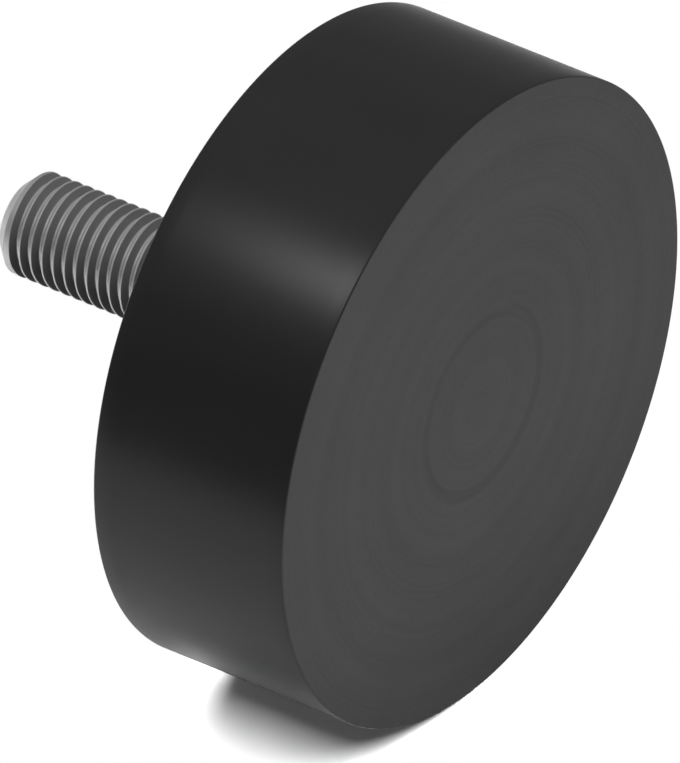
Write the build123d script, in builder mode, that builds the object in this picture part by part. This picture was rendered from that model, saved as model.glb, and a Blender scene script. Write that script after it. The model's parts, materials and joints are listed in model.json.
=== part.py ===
from build123d import *
import os

# A rubber buffer: a rubber disc moulded round a steel base plate, with one stud to fasten it by.
# Lengths are in millimetres. +Z runs out along the stud, and the origin is where the stud's axis
# leaves the mounting face, so the rubber lies below z = 0 and the stud stands above it.

os.makedirs("parts", exist_ok=True)

# Rubber body
body_diameter = 75.0
body_height = 25.0
contact_edge_radius = 0.3
mounting_edge_chamfer = 0.3

# Shallow ring groove moulded in the contact face, with softened shoulders
groove_middle_diameter = 21.6
groove_width = 1.5
groove_depth = 0.2
groove_shoulder_radius = 0.4

# Steel base plate, and the rubber lip that closes over its chamfered rim
plate_thickness = 2.5
plate_rim_chamfer = 0.8
lip_width = 1.5

# Stud: a head that the rubber holds, a neck that fills the plate's hole and a threaded shank
head_diameter = 22.0
head_thickness = 3.0
head_edge_chamfer = 0.6
neck_diameter = 13.0
neck_clearance = 0.02
shank_diameter = 12.0
shank_length = 36.0
tip_chamfer = 1.5

# Radii and levels worked out from the sizes above
body_radius = body_diameter / 2
plate_radius = body_radius - lip_width
plate_bottom = -plate_thickness
head_radius = head_diameter / 2
neck_radius = neck_diameter / 2
shank_radius = shank_diameter / 2
groove_inner_radius = (groove_middle_diameter - groove_width) / 2
groove_outer_radius = (groove_middle_diameter + groove_width) / 2

# Half section of the plate, without its hole
with BuildSketch(Plane.XZ) as plate_section:
    with Locations((0, plate_bottom)):
        Rectangle(plate_radius, plate_thickness, align=Align.MIN)
    rim_corners = plate_section.vertices().group_by(Axis.X)[-1]
    chamfer(rim_corners.sort_by(Axis.Y)[-1], plate_rim_chamfer)

# Half section of the stud's head, with the bevelled edge that the rubber flows round
with BuildSketch(Plane.XZ) as head_section:
    with Locations((0, plate_bottom - head_thickness)):
        Rectangle(head_radius, head_thickness, align=Align.MIN)
    rim_corners = head_section.vertices().group_by(Axis.X)[-1]
    chamfer(rim_corners.sort_by(Axis.Y)[0], head_edge_chamfer)

# Half section of the rubber. It is bonded to the plate and to the head, so it is cut to their own
# sections, which leaves the thin lip round the plate's rim and the pocket that keys the head in.
with BuildSketch(Plane.XZ) as rubber_section:
    with Locations((0, -body_height)):
        Rectangle(body_radius, body_height, align=Align.MIN)
    upper_corners = rubber_section.vertices().group_by(Axis.Y)[-1]
    chamfer(upper_corners.sort_by(Axis.X)[-1], mounting_edge_chamfer)
    lower_corners = rubber_section.vertices().group_by(Axis.Y)[0]
    fillet(lower_corners.sort_by(Axis.X)[-1], contact_edge_radius)

    with BuildLine():
        groove_start = (groove_inner_radius, -body_height)
        groove_end = (groove_outer_radius, -body_height)
        SagittaArc(groove_start, groove_end, groove_depth)
        Line(groove_end, groove_start)
    make_face(mode=Mode.SUBTRACT)
    shoulders = rubber_section.vertices().group_by(Axis.Y)[0].filter_by_position(
        Axis.X, groove_inner_radius, groove_outer_radius
    )
    fillet(shoulders, groove_shoulder_radius)

    add(plate_section.sketch, mode=Mode.SUBTRACT)
    add(head_section.sketch, mode=Mode.SUBTRACT)

with BuildPart() as rubber_body:
    revolve(rubber_section.sketch, axis=Axis.Z)

# The plate is a stamped disc with one hole for the stud's neck.
with BuildPart() as base_plate:
    revolve(plate_section.sketch, axis=Axis.Z)
    Hole(neck_radius + neck_clearance)

# The stud is pushed up through the plate: its head stops below and its neck ends flush above.
# The shank is plain here, at the outer diameter of its thread.
with BuildPart() as threaded_stud:
    revolve(head_section.sketch, axis=Axis.Z)
    with BuildSketch(Plane.XY.offset(plate_bottom)):
        Circle(neck_radius)
    extrude(amount=plate_thickness)
    with BuildSketch(Plane.XY):
        Circle(shank_radius)
    extrude(amount=shank_length)
    chamfer(threaded_stud.edges().sort_by(Axis.Z)[-1], tip_chamfer)

rubber_body.part.label = "rubber_body"
export_step(rubber_body.part, "parts/rubber_body.step")

base_plate.part.label = "base_plate"
export_step(base_plate.part, "parts/base_plate.step")

threaded_stud.part.label = "threaded_stud"
export_step(threaded_stud.part, "parts/threaded_stud.step")
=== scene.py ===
import json
import math

import bmesh
import bpy
from mathutils import Matrix, Vector


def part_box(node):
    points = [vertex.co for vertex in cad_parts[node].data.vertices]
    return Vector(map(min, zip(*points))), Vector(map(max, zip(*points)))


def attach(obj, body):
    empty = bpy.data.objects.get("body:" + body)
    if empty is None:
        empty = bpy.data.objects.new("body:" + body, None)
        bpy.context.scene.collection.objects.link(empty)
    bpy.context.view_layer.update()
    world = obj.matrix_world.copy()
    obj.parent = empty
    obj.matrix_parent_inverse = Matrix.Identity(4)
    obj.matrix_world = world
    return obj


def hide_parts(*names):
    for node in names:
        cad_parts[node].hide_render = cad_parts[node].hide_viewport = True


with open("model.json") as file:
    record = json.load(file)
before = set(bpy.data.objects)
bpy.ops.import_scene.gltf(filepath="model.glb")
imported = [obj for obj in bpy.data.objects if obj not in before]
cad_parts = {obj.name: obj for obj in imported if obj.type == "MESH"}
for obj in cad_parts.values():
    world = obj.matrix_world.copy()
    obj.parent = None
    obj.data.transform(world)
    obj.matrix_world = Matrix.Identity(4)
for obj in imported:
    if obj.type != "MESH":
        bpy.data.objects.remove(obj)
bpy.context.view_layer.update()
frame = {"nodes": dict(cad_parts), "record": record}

# A rubber buffer: a rubber disc on a steel base plate with a threaded stud. Lengths are in metres,
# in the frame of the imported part: +Z runs along the stud and z = 0 is the mounting face.

MM = 0.001

# Sizes read from the frame
rubber_low, rubber_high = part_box("rubber_body")
plate_low, plate_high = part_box("base_plate")
stud_low, stud_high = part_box("threaded_stud")
stud_mount = next(m for m in frame["record"]["mounts"] if m["name"] == "stud")

BODY_RADIUS = min(rubber_high.x, rubber_high.y, -rubber_low.x, -rubber_low.y)
CONTACT_LEVEL = rubber_low.z
MOUNTING_LEVEL = rubber_high.z
PLATE_RADIUS = min(plate_high.x, plate_high.y)
PLATE_BOTTOM = plate_low.z
HEAD_RADIUS = min(stud_high.x, stud_high.y)
HEAD_BOTTOM = stud_low.z
TIP_LEVEL = stud_high.z
SHANK_RADIUS = stud_mount["dims"]["r_mm"] * MM
TIP_CHAMFER = TIP_LEVEL - stud_mount["dims"]["length_mm"] * MM

# Details of the rubber. They are those of the solid, but there the mounting edge has a chamfer in
# place of a radius, and the lip's inner edge is sharp.
EDGE_RADIUS = 0.3 * MM
LIP_CHAMFER = 0.8 * MM
LIP_ROUNDING = 0.08 * MM
GROOVE_RADIUS = 10.8 * MM
GROOVE_HALF_WIDTH = 0.75 * MM
GROOVE_DEPTH = 0.2 * MM
HEAD_CHAMFER = 0.6 * MM

# Relief of the contact face: the raised shoulders of its groove, whose place and width are shares
# of the groove's half width, and the waves that turning leaves, with their two lengths
SHOULDER_HEIGHT = 0.008 * MM
SHOULDER_PLACE = 1.25
SHOULDER_WIDTH = 0.3
WAVE_BASE = 0.012 * MM
WAVE_DEPTH = 0.008 * MM
SHORT_WAVE = 0.53 * MM
LONG_WAVE = 2.9 * MM

# Details of the stud. Its thread has the standard 60 degree form.
NECK_RADIUS = 6.5 * MM
FLANK_ANGLE = math.radians(30)
THREAD_PITCH = 1.5 * MM
THREAD_DEPTH = 0.6134 * THREAD_PITCH
ROOT_ROUNDING = 0.1443 * THREAD_PITCH
CREST_HALF_FLAT = THREAD_PITCH / 16
CREST_SOFTENING = 0.035 * MM
CREST_LOSS = 0.004 * MM
THREAD_START = -0.1 * MM
THREAD_FADE = 1.0 * MM

# Fineness of the meshes. The rows of a thread's pitch are shares of it, from crest to root, and
# those of the stud's end are shares of its radius.
BODY_SEGMENTS = 256
STUD_SEGMENTS = 96
FACE_STEP = 0.25 * MM
CONTACT_EDGE_STEPS = 6
SIDE_ROWS = 12
MOUNTING_EDGE_STEPS = 3
PITCH_ROWS = (0, 0.045, 0.0625, 0.08, 0.15, 0.23, 0.31, 0.375, 0.42, 0.46)
TIP_ROWS = (1.0, 0.6, 0.0)
SPARE_TURNS = 2
SHARP_ANGLE = math.radians(42)
JOINING_DISTANCE = 0.0002 * MM
SHORTEST_EDGE = 0.0001 * MM


def make_object(name, vertices, faces, materials, face_materials=None):
    """A smooth-shaded mesh object, with doubled points joined and its sharp edges marked."""
    mesh = bpy.data.meshes.new(name)
    mesh.from_pydata(vertices, [], faces)
    for material in materials:
        mesh.materials.append(material)
    if face_materials:
        mesh.polygons.foreach_set("material_index", face_materials)
    work = bmesh.new()
    work.from_mesh(mesh)
    bmesh.ops.remove_doubles(work, verts=work.verts, dist=JOINING_DISTANCE)
    bmesh.ops.dissolve_degenerate(work, edges=work.edges, dist=SHORTEST_EDGE)
    bmesh.ops.recalc_face_normals(work, faces=work.faces)
    work.to_mesh(mesh)
    work.free()
    mesh.shade_smooth()
    mesh.set_sharp_from_angle(angle=SHARP_ANGLE)
    obj = bpy.data.objects.new(name, mesh)
    bpy.context.scene.collection.objects.link(obj)
    return obj


def ring_points(radius, level, segments):
    """Points of a level circle about the Z axis."""
    turn = 2 * math.pi / segments
    return [
        (radius * math.cos(i * turn), radius * math.sin(i * turn), level)
        for i in range(segments)
    ]


def lathe(name, profile, segments, materials):
    """Turns a closed profile of (radius, level, material number) about the Z axis. It starts and
    ends on the axis, and each point's material is that of the band up to the next point."""
    vertices, faces, numbers = [], [], []
    for radius, level, _ in profile:
        vertices += ring_points(radius, level, segments)
    for row in range(len(profile) - 1):
        for i in range(segments):
            j = (i + 1) % segments
            low, high = row * segments, (row + 1) * segments
            faces.append((low + i, low + j, high + j, high + i))
            numbers.append(profile[row][2])
    return make_object(name, vertices, faces, materials, numbers)


def contact_relief(radius):
    """How far the contact face lies inside its plane at a radius: the ring groove, with soft
    shoulders, and the slight waves that a turned mould leaves."""
    away = abs(radius - GROOVE_RADIUS) / GROOVE_HALF_WIDTH
    groove = GROOVE_DEPTH * (1 - away * away) if away < 1 else 0
    shoulder = SHOULDER_HEIGHT * math.exp(-((away - SHOULDER_PLACE) / SHOULDER_WIDTH) ** 2)
    wave = 0.5 + 0.5 * math.sin(radius / SHORT_WAVE) * math.sin(radius / LONG_WAVE + 1.0)
    return max(0.0, groove + WAVE_BASE + WAVE_DEPTH * wave - shoulder)


def rubber_profile():
    """Half section of the rubber, from the middle of the contact face round to the stud's head."""
    FACE, SIDE = 0, 1
    profile = [(0.0, CONTACT_LEVEL + contact_relief(0.0), FACE)]
    flat_radius = BODY_RADIUS - EDGE_RADIUS
    steps = int(flat_radius / FACE_STEP)
    for i in range(1, steps):
        radius = flat_radius * i / steps
        profile.append((radius, CONTACT_LEVEL + contact_relief(radius), FACE))
    for i in range(CONTACT_EDGE_STEPS + 1):
        angle = math.pi / 2 * i / CONTACT_EDGE_STEPS
        radius = flat_radius + EDGE_RADIUS * math.sin(angle)
        level = CONTACT_LEVEL + EDGE_RADIUS * (1 - math.cos(angle))
        profile.append((radius, level, FACE if 2 * i < CONTACT_EDGE_STEPS else SIDE))
    side_top = MOUNTING_LEVEL - EDGE_RADIUS
    side_bottom = CONTACT_LEVEL + EDGE_RADIUS
    for i in range(1, SIDE_ROWS):
        level = side_bottom + (side_top - side_bottom) * i / SIDE_ROWS
        profile.append((BODY_RADIUS, level, SIDE))
    for i in range(MOUNTING_EDGE_STEPS + 1):
        angle = math.pi / 2 * i / MOUNTING_EDGE_STEPS
        radius = flat_radius + EDGE_RADIUS * math.cos(angle)
        level = side_top + EDGE_RADIUS * math.sin(angle)
        profile.append((radius, level, SIDE))
    lip_radius = PLATE_RADIUS - LIP_CHAMFER
    profile.append((lip_radius + 2 * LIP_ROUNDING, MOUNTING_LEVEL, SIDE))
    profile.append((lip_radius + LIP_ROUNDING, MOUNTING_LEVEL - 0.3 * LIP_ROUNDING, SIDE))
    profile.append((lip_radius + LIP_ROUNDING, MOUNTING_LEVEL - LIP_ROUNDING, SIDE))
    profile.append((PLATE_RADIUS, MOUNTING_LEVEL - LIP_CHAMFER, SIDE))
    profile.append((PLATE_RADIUS, PLATE_BOTTOM, SIDE))
    profile.append((HEAD_RADIUS, PLATE_BOTTOM, SIDE))
    profile.append((HEAD_RADIUS, HEAD_BOTTOM + HEAD_CHAMFER, SIDE))
    profile.append((HEAD_RADIUS - HEAD_CHAMFER, HEAD_BOTTOM, SIDE))
    profile.append((0.0, HEAD_BOTTOM, SIDE))
    return profile


def thread_depth(distance):
    """Depth of the thread below its crest, at a distance along the axis from the crest's middle."""
    from_root = THREAD_PITCH / 2 - distance
    if from_root < ROOT_ROUNDING * math.cos(FLANK_ANGLE):
        return THREAD_DEPTH - ROOT_ROUNDING + math.sqrt(ROOT_ROUNDING ** 2 - from_root ** 2)
    flank = (distance - CREST_HALF_FLAT) / math.tan(FLANK_ANGLE)
    return 0.5 * (flank + math.hypot(flank, CREST_SOFTENING)) - CREST_LOSS


def shank_surface(angle, level):
    """Radius of the shank at an angle about the axis and a level: a right-handed thread, whose
    groove fades out where its middle comes close to the chamfer at the tip."""
    turns = (level - THREAD_START) / THREAD_PITCH - angle / (2 * math.pi)
    distance = abs(turns - round(turns)) * THREAD_PITCH
    groove_level = level + (math.floor(turns) + 0.5 - turns) * THREAD_PITCH
    chamfer_start = TIP_LEVEL - TIP_CHAMFER
    depth_left = min(1.0, max(0.0, (chamfer_start - groove_level) / THREAD_FADE))
    cone = SHANK_RADIUS - (level - chamfer_start)
    return min(SHANK_RADIUS - max(0.0, thread_depth(distance)) * depth_left, cone)


def stud_columns():
    """Points of the stud in columns round the axis. Within the thread each column's rows climb with
    the helix, so that the rows run along the crests. Rows past either end of the thread stop there,
    and the chamfer and the flat end follow. Also says how many points lie below the thread, in it
    and in one pitch of it."""
    offsets = sorted({0.5, *PITCH_ROWS, *(1 - s for s in PITCH_ROWS if s)})
    turns = range(-SPARE_TURNS, math.ceil(TIP_LEVEL / THREAD_PITCH) + SPARE_TURNS)
    rows = [(turn + s) * THREAD_PITCH + THREAD_START for turn in turns for s in offsets]
    below = [(0.0, HEAD_BOTTOM), (HEAD_RADIUS - HEAD_CHAMFER, HEAD_BOTTOM)]
    below += [(HEAD_RADIUS, HEAD_BOTTOM + HEAD_CHAMFER), (HEAD_RADIUS, PLATE_BOTTOM)]
    below += [(NECK_RADIUS, PLATE_BOTTOM), (NECK_RADIUS, MOUNTING_LEVEL)]
    tip_radius = SHANK_RADIUS - TIP_CHAMFER
    chamfer_start = TIP_LEVEL - TIP_CHAMFER
    columns = []
    for i in range(STUD_SEGMENTS):
        angle = 2 * math.pi * i / STUD_SEGMENTS
        column = list(below)
        for row in rows:
            climbed = row + THREAD_PITCH * angle / (2 * math.pi)
            level = min(max(climbed, MOUNTING_LEVEL), chamfer_start)
            column.append((shank_surface(angle, level), level))
        column += [(tip_radius * s, TIP_LEVEL) for s in TIP_ROWS]
        columns.append([(r * math.cos(angle), r * math.sin(angle), z) for r, z in column])
    return columns, len(below), len(rows), len(offsets)


def build_stud(materials):
    """The stud as one closed mesh. The last column meets the first one pitch higher."""
    columns, below, thread_rows, per_pitch = stud_columns()
    height = len(columns[0])
    vertices = [point for column in columns for point in column]
    faces = []
    for i in range(STUD_SEGMENTS):
        j = (i + 1) % STUD_SEGMENTS
        climb = per_pitch if j == 0 else 0
        for row in range(height - 1):
            in_thread = below <= row < below + thread_rows - 1
            lift = climb if in_thread else 0
            if in_thread and row + 1 + lift >= below + thread_rows:
                continue
            here, there = i * height + row, j * height + row + lift
            faces.append((here, there, there + 1, here + 1))
    return make_object("threaded_stud_with_thread", vertices, faces, materials)


class Nodes:
    """A short way to write the nodes of a material, or of a world."""

    def __init__(self, name, world=False):
        self.block = (bpy.data.worlds if world else bpy.data.materials).new(name)
        self.block.use_nodes = True
        self.tree = self.block.node_tree
        self.tree.nodes.clear()
        self.output = self.add("OutputWorld" if world else "OutputMaterial")

    def add(self, kind, links=None, **settings):
        """Adds a node. links names its inputs, each given a value or another node's output."""
        node = self.tree.nodes.new("ShaderNode" + kind)
        for key, value in settings.items():
            setattr(node, key, value)
        for socket, value in (links or {}).items():
            if isinstance(value, bpy.types.NodeSocket):
                self.tree.links.new(value, node.inputs[socket])
            else:
                node.inputs[socket].default_value = value
        return node

    def math(self, operation, first, second=0.0):
        return self.add("Math", {0: first, 1: second}, operation=operation).outputs[0]

    def blend(self, *parts):
        """Sum of values, each given with its weight."""
        total = None
        for value, weight in parts:
            share = self.math("MULTIPLY", value, weight)
            total = share if total is None else self.math("ADD", total, share)
        return total

    def ramp(self, value, low, high, to_low=0.0, to_high=1.0):
        links = {"Value": value, "From Min": low, "From Max": high}
        links.update({"To Min": to_low, "To Max": to_high})
        return self.add("MapRange", links, clamp=True).outputs["Result"]

    def noise(self, vector, scale, detail=2.0, roughness=0.5):
        links = {"Vector": vector, "Scale": scale, "Detail": detail, "Roughness": roughness}
        return self.add("TexNoise", links).outputs["Fac"]

    def mix(self, share, first, second):
        node = self.add("Mix", {"Factor": share}, data_type="RGBA")
        for socket, value in ((node.inputs[6], first), (node.inputs[7], second)):
            if isinstance(value, bpy.types.NodeSocket):
                self.tree.links.new(value, socket)
            else:
                socket.default_value = value
        return node.outputs[2]

    def bump(self, height, strength):
        """A normal that shows a surface's grain, given its height."""
        links = {"Strength": strength, "Distance": GRAIN_DEPTH, "Height": height}
        return self.add("Bump", links).outputs[0]

    def place(self):
        """The point's place in the part, in millimetres, as a vector and its x, y and z."""
        position = self.add("TexCoord").outputs["Object"]
        links = {0: position, "Scale": 1 / MM}
        scaled = self.add("VectorMath", links, operation="SCALE").outputs[0]
        return scaled, *self.add("SeparateXYZ", {0: scaled}).outputs

    def along(self, vector, direction):
        """How far a vector reaches in a direction."""
        links = {0: vector, 1: direction}
        return self.add("VectorMath", links, operation="DOT_PRODUCT").outputs["Value"]

    def radius(self, x, y):
        """Distance from the Z axis."""
        squares = [self.math("MULTIPLY", value, value) for value in (x, y)]
        return self.math("SQRT", self.math("ADD", *squares))

    def finish(self, shader):
        self.tree.links.new(shader.outputs[0], self.output.inputs["Surface"])
        return self.block


def grey(value):
    return (value, value, value, 1.0)


# Ranges of a noise's values over which a surface changes: a narrow one, and a wide one for a
# gentler change
NARROW = (0.35, 0.65)
WIDE = (0.3, 0.7)
GRAIN_DEPTH = 0.02 * MM

# How much a noise is drawn out: up the rubber's side, and along the plate's brushing
SIDE_STRETCH = 0.35
BRUSH_STRETCH = 0.08

# Colours, each a pair between which a surface varies, and single ones where it doesn't
# Face and side are one rubber. The face's colours, about three times the side's, stand partly for
# its rough turned finish and partly for the stronger light it takes: painted light.
FACE_COLOURS = (grey(0.038), grey(0.060))
# Painted shade in the ring groove's recess.
GROOVE_PAINTED_SHADE = grey(0.0475)
SIDE_COLOURS = (grey(0.0145), grey(0.0175))
# The thread's colours: a painted highlight, and painted shade for its flanks.
PAINTED_HIGHLIGHT_COLOURS = (grey(0.64), (0.72, 0.72, 0.73, 1.0))
PAINTED_SHADE_FLANK_COLOUR = grey(0.16)
PLATE_COLOURS = ((0.60, 0.60, 0.61, 1.0), (0.70, 0.70, 0.71, 1.0))

# Where the thread's painted highlight lies, with painted shade on the rest. The bands are in
# millimetres: from shade to highlight below the crest, from highlight to shade above the root, and
# the rise before the chamfer. Flanks take the painted highlight by how far they face the tip, up
# to a share.
CREST_BAND = (0.09, 0.01)
ROOT_BAND = (0.02, 0.12)
CHAMFER_BAND = 0.1
FACING_TIP = (0.1, 0.7)
TIP_FLANK_PAINTED_HIGHLIGHT = 0.8

# How far from the middle of the ring groove its painted shade gives way to the face's colour, in
# millimetres
GROOVE_SHADE_BAND = (0.55, 0.95)


def turned_rubber():
    """The contact face: matt grey-black rubber with fine rings about the middle, and painted shade
    in its ring groove.
    """
    n = Nodes("rubber_turned_face")
    vector, x, y, _ = n.place()
    radius = n.radius(x, y)
    ring_at = n.add("CombineXYZ", {0: radius}).outputs[0]
    fine = n.noise(ring_at, scale=2.6, detail=3.0, roughness=0.7)
    broad = n.noise(ring_at, scale=0.35)
    grain = n.noise(vector, scale=3.5, detail=3.0, roughness=0.6)
    cloud = n.noise(vector, scale=0.06)
    tone = n.blend((fine, 0.35), (broad, 0.25), (grain, 0.25), (cloud, 0.15))
    from_groove = n.math("ABSOLUTE", n.math("SUBTRACT", radius, GROOVE_RADIUS / MM))
    # Lighter than the side's colour, partly for the turned finish and partly as painted light.
    colour = n.mix(n.ramp(tone, *NARROW), *FACE_COLOURS)
    # Painted shade in the ring groove.
    colour = n.mix(n.ramp(from_groove, *GROOVE_SHADE_BAND), GROOVE_PAINTED_SHADE, colour)
    shader = n.add("BsdfPrincipled", {
        "Base Color": colour, "Roughness": n.ramp(tone, *WIDE, 0.62, 0.72),
        "Specular IOR Level": 0.08, "Normal": n.bump(n.blend((fine, 0.6), (grain, 0.4)), 0.25),
    })
    return n.finish(shader)


def moulded_rubber():
    """The side and the lip: smooth black rubber with a slight sheen."""
    n = Nodes("rubber_moulded_side")
    vector, x, y, z = n.place()
    height = n.math("MULTIPLY", z, SIDE_STRETCH)
    stretched = n.add("CombineXYZ", {0: x, 1: y, 2: height}).outputs[0]
    grain = n.noise(vector, scale=2.2, detail=4.0, roughness=0.6)
    cloud = n.noise(stretched, scale=0.12, detail=3.0)
    tone = n.blend((grain, 0.4), (cloud, 0.6))
    shader = n.add("BsdfPrincipled", {
        # Darker than the face's colour, whose difference is partly painted light on the face.
        "Base Color": n.mix(n.ramp(tone, *NARROW), *SIDE_COLOURS),
        "Roughness": n.ramp(tone, *WIDE, 0.30, 0.36),
        "Specular IOR Level": 0.35, "Normal": n.bump(grain, 0.12),
    })
    return n.finish(shader)


def zinc_thread():
    """The stud: zinc-plated steel with a painted highlight on its crests, its roots, its chamfer
    and the flanks that face the tip, and painted shade, dull and less metallic, on the other
    flanks."""
    n = Nodes("zinc_plated_thread")
    vector, x, y, z = n.place()
    radius = n.radius(x, y)
    grain = n.noise(vector, scale=3.0, detail=4.0, roughness=0.6)
    cloud = n.noise(vector, scale=0.5)
    outer, root = SHANK_RADIUS / MM, (SHANK_RADIUS - THREAD_DEPTH) / MM
    chamfer_start = (TIP_LEVEL - TIP_CHAMFER) / MM
    crest = n.ramp(radius, outer - CREST_BAND[0], outer - CREST_BAND[1])
    valley = n.ramp(radius, root + ROOT_BAND[0], root + ROOT_BAND[1], 1.0, 0.0)
    chamfer = n.ramp(z, chamfer_start - CHAMFER_BAND, chamfer_start)
    normal = n.add("TexCoord").outputs["Normal"]
    slope = n.add("SeparateXYZ", {0: normal}).outputs[2]
    # Painted highlight by which way a flank faces and on the crest, root and chamfer bands; painted
    # shade on the rest. The metalness follows it.
    painted_highlight = n.ramp(slope, *FACING_TIP, 0.0, TIP_FLANK_PAINTED_HIGHLIGHT)
    for band in (crest, valley, chamfer):
        painted_highlight = n.math("MAXIMUM", painted_highlight, band)
    bright = n.mix(n.ramp(cloud, *WIDE), *PAINTED_HIGHLIGHT_COLOURS)
    shader = n.add("BsdfPrincipled", {
        "Base Color": n.mix(painted_highlight, PAINTED_SHADE_FLANK_COLOUR, bright),
        "Metallic": n.ramp(painted_highlight, 0.0, 1.0, 0.0, 0.85),
        "Roughness": n.ramp(grain, *WIDE, 0.40, 0.50),
        "Specular IOR Level": 0.1, "Normal": n.bump(grain, 0.2),
    })
    return n.finish(shader)


def zinc_plate():
    """The base plate: zinc-plated stamped steel with a faint grain."""
    n = Nodes("zinc_plated_plate")
    vector, x, y, z = n.place()
    along = n.math("MULTIPLY", x, BRUSH_STRETCH)
    brushed = n.add("CombineXYZ", {0: along, 1: y, 2: z}).outputs[0]
    lines = n.noise(brushed, scale=3.0, detail=4.0, roughness=0.6)
    cloud = n.noise(vector, scale=0.15, detail=3.0)
    tone = n.blend((lines, 0.5), (cloud, 0.5))
    shader = n.add("BsdfPrincipled", {
        "Base Color": n.mix(n.ramp(tone, *NARROW), *PLATE_COLOURS),
        "Metallic": 1.0, "Roughness": n.ramp(tone, *WIDE, 0.34, 0.46),
        "Normal": n.bump(lines, 0.15),
    })
    return n.finish(shader)


# The stage's white as it lights the part, as the camera sees it and as gloss does. Those above 1
# keep the lit ground white, and the wall's give its shadow the photograph's levels.
STAGE_WHITE = 0.14
FLOOR_WHITE_SEEN = 1.15
WALL_WHITE_SEEN = 6.0
WALL_WHITE_MIRRORED = 1.2
SHADOW_WHITE_MIRRORED = 2.9

# The world: what it adds to the light, and its levels in gloss. The backdrop and the sky each rise
# to theirs over a range of the cosine of the angle to their middle.
WORLD_LIGHT = 0.02
STUDIO_LEVEL = 0.2
SKY_LEVEL = 0.5
BACKDROP_LEVEL = 0.95
BACKDROP_SIDE = Vector((0, 0.98, 0.2)).normalized()
BACKDROP_SPREAD = (0.84, 1.0)
SKY_SPREAD = (0.6, 0.9)

# Directions to the lamps from what they shine on. The key light stands overhead, leaning a little
# to the contact face's side. The highlight's lamp stands close by and is aimed just before that
# face's edge.
KEY_LEAN = Vector((0, 0, -0.1))
HIGHLIGHT_AIM = Vector((0.165 * BODY_RADIUS, -0.986 * BODY_RADIUS, CONTACT_LEVEL - 4 * MM))
HIGHLIGHT_SIDE = Vector((0.2875, -0.8349, 0.471))
FRONT_SIDE = Vector((-0.106, 0.091, -1))
TOP_SIDE = Vector((0, 0.6, 0.8))
BACK_SIDE = Vector((-0.72, 0.62, 0.3))

# The flag before the front fill: how far its shade is half complete from the middle of the contact
# face towards the photograph's ground, how far from there it stands, and its height and half width
FLAG_LOW = 43 * MM
FLAG_DISTANCE = 0.28
FLAG_SIZE = 0.2

# The floor and the wall: their radii, how far they stand off the part, and how far the piece of
# wall under the part stands before the wall
FLOOR_RADIUS = 3.0
WALL_RADIUS = 0.165
STAGE_GAP = 0.02 * MM
PIECE_LIFT = 0.01 * MM
STAGE_SEGMENTS = 96

# The piece of wall on which the shadow shows, in millimetres: its reach towards the camera, its
# reach in level, and how wide its edges fade, with the one below the contact face apart. A power
# softens the fade.
SHADOW_NEAR = (-8.0, 33.0)
SHADOW_LEVELS = (-27.0, 10.0)
SHADOW_FADE = 9.0
SHADOW_FRONT_FADE = 1.5
SHADOW_SOFTNESS = 4.0


def stage_material(name, white_seen, white_mirrored=STAGE_WHITE, near=None):
    """White stage that shows from its front only. The camera sees it brighter than it is, and gloss
    sees it at a level of its own. With near, the direction towards the camera, it fades out before
    the edges of the piece of wall under the part."""
    n = Nodes(name)
    path = n.add("LightPath").outputs
    in_gloss = n.ramp(path["Diffuse Depth"], 0.0, 1.0, path["Is Glossy Ray"], 0.0)
    mirrored = n.ramp(in_gloss, 0.0, 1.0, STAGE_WHITE, white_mirrored)
    tone = n.ramp(path["Is Camera Ray"], 0.0, 1.0, mirrored, white_seen)
    colour = n.add("CombineColor", {0: tone, 1: tone, 2: tone}).outputs[0]
    lit = n.add("BsdfDiffuse", {"Color": colour})
    clear = n.add("BsdfTransparent")
    hidden = n.add("NewGeometry").outputs["Backfacing"]
    if near:
        vector, _, _, z = n.place()
        along = n.along(vector, near)
        start, end = SHADOW_NEAR
        low, high = SHADOW_LEVELS
        across = n.math("MULTIPLY", n.ramp(along, start, start + SHADOW_FADE),
                        n.ramp(along, end - SHADOW_FADE, end, 1.0, 0.0))
        upwards = n.math("MULTIPLY", n.ramp(z, low, low + SHADOW_FRONT_FADE),
                         n.ramp(z, high - SHADOW_FADE, high, 1.0, 0.0))
        shown = n.math("POWER", n.math("MULTIPLY", across, upwards), SHADOW_SOFTNESS)
        hidden = n.math("MAXIMUM", hidden, n.math("SUBTRACT", 1.0, shown))
    shader = n.add("MixShader", {0: hidden, 1: lit.outputs[0], 2: clear.outputs[0]})
    return n.finish(shader)


def stage_plane(name, points, material, seen=False, mirrored=False, lighting=False, shading=False):
    """A flat stage piece. Only a seen one shows to the camera, only a mirrored one in gloss, only a
    lighting one lights what is near, and only a shading one casts a shadow."""
    mesh = bpy.data.meshes.new(name)
    mesh.from_pydata([tuple(point) for point in points], [], [tuple(range(len(points)))])
    mesh.materials.append(material)
    obj = bpy.data.objects.new(name, mesh)
    bpy.context.scene.collection.objects.link(obj)
    obj.visible_camera = seen
    obj.visible_glossy = mirrored
    obj.visible_diffuse = lighting
    obj.visible_shadow = shading


def disc_points(middle, normal, radius):
    """Points round a disc that faces along its normal."""
    turn = normal.to_track_quat("Z", "Y").to_matrix()
    return [middle + turn @ Vector(point) for point in ring_points(radius, 0, STAGE_SEGMENTS)]


# The photograph's view. Angles are in degrees, places in the picture in its pixels.
PICTURE_SIZE_PX = (680, 763)
VIEW_LEAN = 61.94
STUD_TILT_IN_PICTURE = 22.02
FACE_CENTRE_PX = (481.9, 403.9)
BODY_RADIUS_PX = 346.4
LENS_MM = 1400.0
SENSOR_MM = 36.0


def picture_axes():
    """Right, up and forward of the photograph's camera, in the part's frame."""
    lean, tilt = math.radians(VIEW_LEAN), math.radians(STUD_TILT_IN_PICTURE)
    forward = Vector((0, math.sin(lean), math.cos(lean)))
    along = (Vector((0, 0, 1)) - forward * math.cos(lean)).normalized()
    across = along.cross(forward)
    right = -math.cos(tilt) * along - math.sin(tilt) * across
    up = math.sin(tilt) * along - math.cos(tilt) * across
    return right, up, forward


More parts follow.
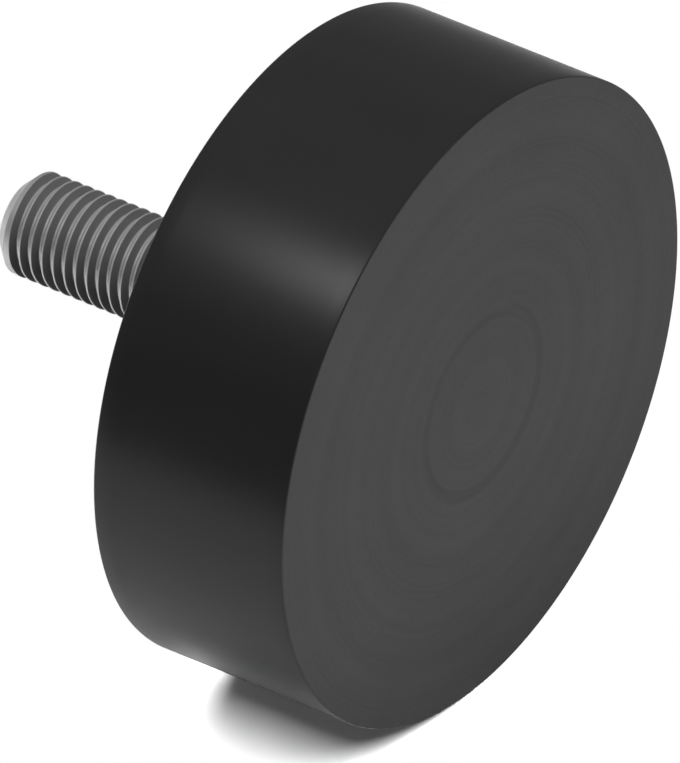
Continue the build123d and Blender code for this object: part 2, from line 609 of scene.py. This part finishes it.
def add_camera():
    right, up, forward = picture_axes()
    focal_px = LENS_MM / SENSOR_MM * max(PICTURE_SIZE_PX)
    distance = focal_px / BODY_RADIUS_PX * BODY_RADIUS
    aside = (FACE_CENTRE_PX[0] - PICTURE_SIZE_PX[0] / 2) * distance / focal_px
    below = (FACE_CENTRE_PX[1] - PICTURE_SIZE_PX[1] / 2) * distance / focal_px
    face_centre = Vector((0, 0, CONTACT_LEVEL))
    data = bpy.data.cameras.new("camera")
    data.lens = LENS_MM
    data.sensor_width = SENSOR_MM
    data.clip_start = 0.1
    data.clip_end = 20.0
    camera = bpy.data.objects.new("camera", data)
    camera.matrix_world = Matrix((
        (right.x, up.x, -forward.x, 0),
        (right.y, up.y, -forward.y, 0),
        (right.z, up.z, -forward.z, 0),
        (0, 0, 0, 1),
    ))
    camera.location = face_centre - forward * distance - right * aside + up * below
    bpy.context.scene.collection.objects.link(camera)
    bpy.context.scene.camera = camera


def add_lamp(name, direction, distance, size, level, aim=Vector((0, 0, 0)), matt=True, gloss=True):
    """A round area lamp that lights a white surface facing it, at its aim, to about the level. It
    lights matt surfaces, or shows in gloss, or both. The origin is its aim unless one is given."""
    data = bpy.data.lights.new(name, "AREA")
    data.shape = "DISK"
    data.size = size
    data.energy = level * math.pi * math.pi * distance * distance
    lamp = bpy.data.objects.new(name, data)
    towards = direction.normalized()
    lamp.location = aim + towards * distance
    lamp.rotation_mode = "QUATERNION"
    lamp.rotation_quaternion = towards.to_track_quat("Z", "Y")
    lamp.visible_diffuse = matt
    lamp.visible_glossy = gloss
    bpy.context.scene.collection.objects.link(lamp)
    return lamp


def light_world():
    """A white studio that adds little light. The camera sees it as plain white. In gloss it is
    white at the backdrop's side, pale above and grey elsewhere."""
    n = Nodes("studio", world=True)
    path = n.add("LightPath").outputs
    direction = n.add("TexCoord").outputs["Generated"]
    towards = n.along(direction, BACKDROP_SIDE)
    backdrop = n.ramp(towards, *BACKDROP_SPREAD, STUDIO_LEVEL, BACKDROP_LEVEL)
    height = n.add("SeparateXYZ", {0: direction}).outputs[2]
    sky = n.ramp(height, *SKY_SPREAD, STUDIO_LEVEL, SKY_LEVEL)
    mirrored = n.math("MAXIMUM", backdrop, sky)
    unseen = n.ramp(path["Is Glossy Ray"], 0.0, 1.0, WORLD_LIGHT, mirrored)
    seen = n.math("MAXIMUM", path["Is Camera Ray"], path["Is Transmission Ray"])
    strength = n.ramp(seen, 0.0, 1.0, unseen, 1.0)
    background = n.add("Background", {"Color": grey(1.0), "Strength": strength})
    bpy.context.scene.world = n.finish(background)


def overhead_direction():
    """Up as it is in the photograph: square to the stud, which lies level there, and to the
    level line that runs across the picture."""
    right = picture_axes()[0]
    return right.cross(Vector((0, 0, 1))).normalized()


def build_stage(overhead):
    """A studio corner: the floor that the part stands on, and the wall that its side touches,
    which is the ground under it in the photograph's view. Neither shows from behind. The wall
    lights the part and shows only in gloss. The camera sees a piece before it, under the part, on
    which the shadow falls."""
    below = Vector((0, 0, CONTACT_LEVEL - STAGE_GAP))
    up = Vector((0, 0, 1))
    floor_white = stage_material("floor_white", FLOOR_WHITE_SEEN)
    stage_plane("floor", disc_points(below, up, FLOOR_RADIUS), floor_white, seen=True)
    wall_white = stage_material("wall_white", WALL_WHITE_SEEN, WALL_WHITE_MIRRORED)
    beside = -overhead * (BODY_RADIUS + STAGE_GAP)
    wall_points = disc_points(beside, overhead, WALL_RADIUS)
    stage_plane("wall", wall_points, wall_white, mirrored=True, lighting=True)
    near = overhead.cross(up)
    beside += overhead * PIECE_LIFT
    start, end = SHADOW_NEAR
    low, high = SHADOW_LEVELS
    points = [
        beside + (near * along + up * level) * MM
        for along, level in ((start, low), (start, high), (end, high), (end, low))
    ]
    shadow_white = stage_material("shadow_white", WALL_WHITE_SEEN, SHADOW_WHITE_MIRRORED, near)
    stage_plane("wall_under_part", points, shadow_white, seen=True, mirrored=True)


def shade_fill(overhead, lamp):
    """A flag in the front fill's light, given the lamp's place. Its soft shade darkens the contact
    face towards the photograph's ground. It shows in no view."""
    n = Nodes("flag_black")
    black = n.finish(n.add("BsdfDiffuse", {"Color": grey(0.02)}))
    shaded = Vector((0, 0, CONTACT_LEVEL)) - overhead * FLAG_LOW
    edge = shaded + (lamp - shaded).normalized() * FLAG_DISTANCE
    across = overhead.cross(Vector((0, 0, 1))) * FLAG_SIZE
    down = -overhead * FLAG_SIZE
    points = [edge - across, edge - across + down, edge + across + down, edge + across]
    stage_plane("fill_flag", points, black, shading=True)


def light_stage(overhead):
    """Soft light from overhead in the photograph's view, with its sheen apart, the side's long
    highlight, and weaker light on the contact face, the top and the back."""
    leaning = overhead + KEY_LEAN
    add_lamp("key_light", leaning, distance=0.5, size=1.06, level=1.84, gloss=False)
    add_lamp("key_sheen", overhead, distance=0.52, size=0.85, level=0.06, matt=False)
    add_lamp("side_highlight", HIGHLIGHT_SIDE, distance=0.08, size=0.026, level=0.16,
             aim=HIGHLIGHT_AIM, matt=False)
    fill = add_lamp("front_fill", FRONT_SIDE, distance=1.2, size=0.2, level=0.85)
    shade_fill(overhead, fill.location)
    add_lamp("top_light", TOP_SIDE, distance=0.8, size=0.45, level=0.95, gloss=False)
    add_lamp("back_fill", BACK_SIDE, distance=0.6, size=0.45, level=0.15, gloss=False)


def build_object():
    """The rubber body and the threaded stud, which stand in for their solids, and the plate's own
    solid with its material."""
    face, side = turned_rubber(), moulded_rubber()
    rubber = lathe("rubber_body_moulded", rubber_profile(), BODY_SEGMENTS, [face, side])
    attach(rubber, "root")
    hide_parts("rubber_body")

    stud = build_stud([zinc_thread()])
    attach(stud, "root")
    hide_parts("threaded_stud")

    plate = frame["nodes"]["base_plate"]
    plate.data.materials.clear()
    plate.data.materials.append(zinc_plate())


bpy.context.scene.view_settings.view_transform = "Standard"
build_object()
add_camera()
light_world()
light_stage(overhead_direction())
build_stage(overhead_direction())
